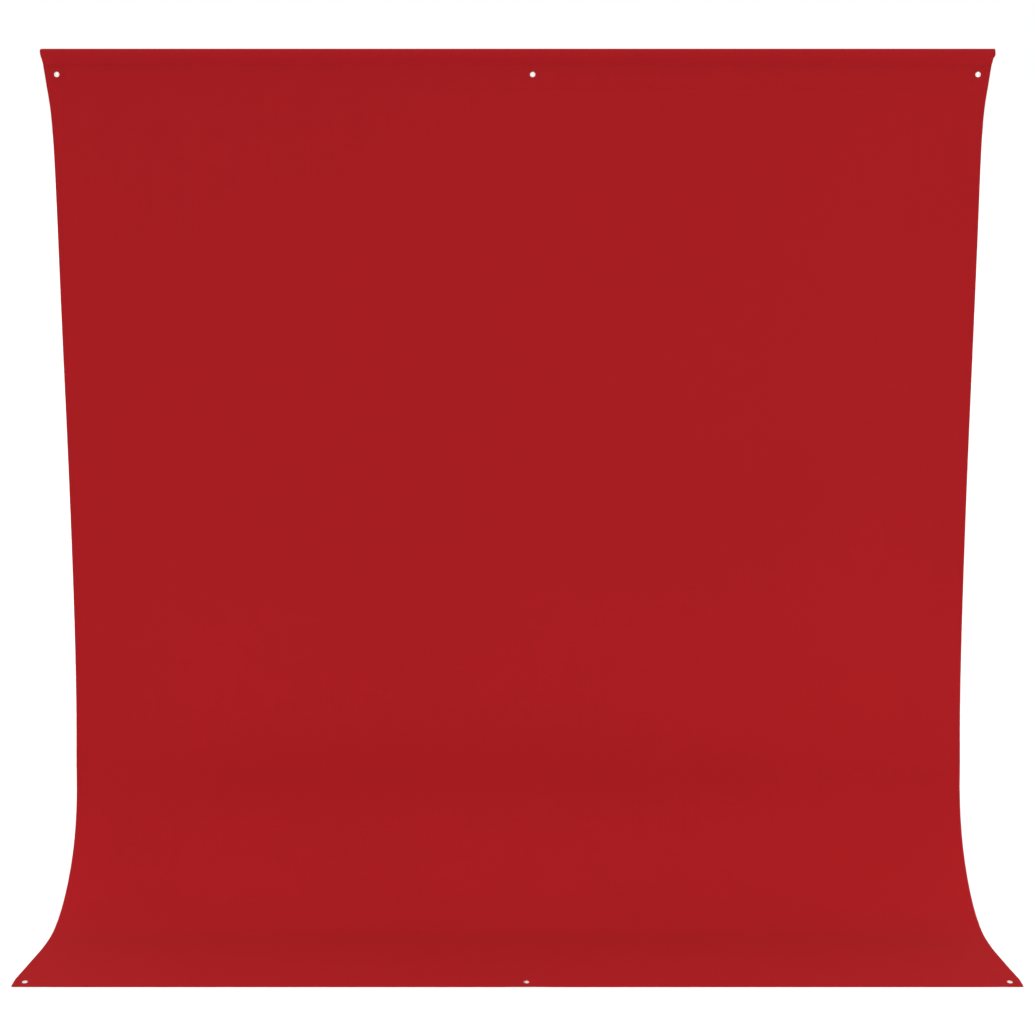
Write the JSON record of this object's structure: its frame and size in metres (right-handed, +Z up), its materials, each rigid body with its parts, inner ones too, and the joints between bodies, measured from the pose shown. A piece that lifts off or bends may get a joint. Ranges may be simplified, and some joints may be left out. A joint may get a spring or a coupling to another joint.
{
  "type": "fabric backdrop sheet",
  "caption": "Plain fabric photo backdrop: rod pocket and grommets along the top, hanging curtain with necked-in sides, swept foot, floor apron with a grommeted front hem.",
  "frame": {"origin": "middle of the bounding box in plan, at floor level", "axes": "+Z up, the coloured face looks to -Y, +X to the viewer's right"},
  "size_m": [2.743, 0.855, 2.5],
  "materials": {
    "cloth": "matte",
    "thread": "satin",
    "patch_cloth": "matte",
    "eyelet_metal": "satin",
    "washer_metal": "satin",
    "label": "satin"
  },
  "bodies": {
    "header": {"rod_pocket": "cloth", "pocket_seam_thread": "thread", "header_seam_thread": "thread", "patch_top_left": "patch_cloth", "patch_top_middle": "patch_cloth", "patch_top_right": "patch_cloth", "patch_top_threads": "thread", "grommet_top_left": "eyelet_metal", "grommet_top_middle": "eyelet_metal", "grommet_top_right": "eyelet_metal", "washer_top_left": "washer_metal", "washer_top_middle": "washer_metal", "washer_top_right": "washer_metal", "care_label": "label"},
    "curtain": {"curtain_cloth": "cloth", "curtain_left_hem": "cloth", "curtain_right_hem": "cloth", "curtain_left_hem_thread": "thread", "curtain_right_hem_thread": "thread"},
    "apron": {"apron_cloth": "cloth", "apron_left_hem": "cloth", "apron_right_hem": "cloth", "apron_left_hem_thread": "thread", "apron_right_hem_thread": "thread", "front_hem": "cloth", "front_hem_thread": "thread", "patch_front_left": "patch_cloth", "patch_front_middle": "patch_cloth", "patch_front_right": "patch_cloth", "patch_front_threads": "thread", "grommet_front_left": "eyelet_metal", "grommet_front_middle": "eyelet_metal", "grommet_front_right": "eyelet_metal", "washer_front_left": "washer_metal", "washer_front_middle": "washer_metal", "washer_front_right": "washer_metal"}
  },
  "joints": [
    {"name": "curtain_swing", "type": "hinge", "parent": "header", "child": "curtain", "pos_m": [0, 0.41064, 2.38358], "axis": [-1, 0, 0], "range_deg": [0, 15]},
    {"name": "apron_fold", "type": "hinge", "parent": "curtain", "child": "apron", "pos_m": [0, 0.14775, 0.10673], "axis": [-1, 0, 0], "range_deg": [0, 100]}
  ]
}
